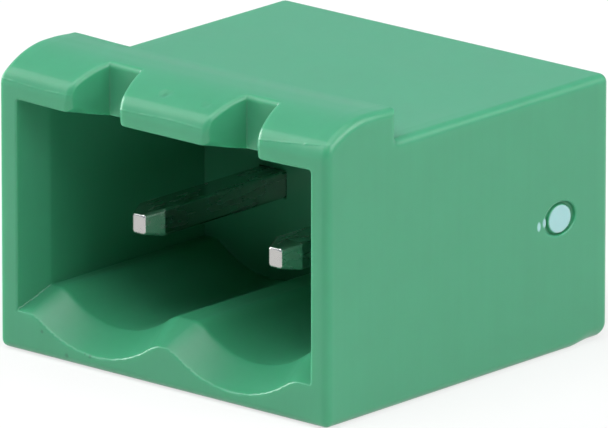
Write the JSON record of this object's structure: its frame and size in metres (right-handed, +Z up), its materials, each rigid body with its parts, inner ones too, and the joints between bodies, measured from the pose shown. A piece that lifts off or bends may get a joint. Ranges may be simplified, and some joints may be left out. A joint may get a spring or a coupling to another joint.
{
  "type": "pluggable terminal block header",
  "caption": "Green board header of a pluggable terminal block: open-ended moulded socket with scalloped floor, latch band and flat-sided solder pins.",
  "frame": {"origin": "middle of the flat floor side of the housing, which the part lies on", "axes": "+X across the two poles, +Y from the mouth of the socket to the board face along the pins, +Z up from the floor side to the latch band"},
  "size_m": [0.0122, 0.0155, 0.0086],
  "materials": {
    "moulded_plastic": "satin moulded polyamide",
    "tinned_wire": "bright tin plate over copper alloy wire"
  },
  "bodies": {
    "root": {"housing": "moulded_plastic", "contact_pin_left": "tinned_wire", "contact_pin_right": "tinned_wire"}
  },
  "joints": []
}
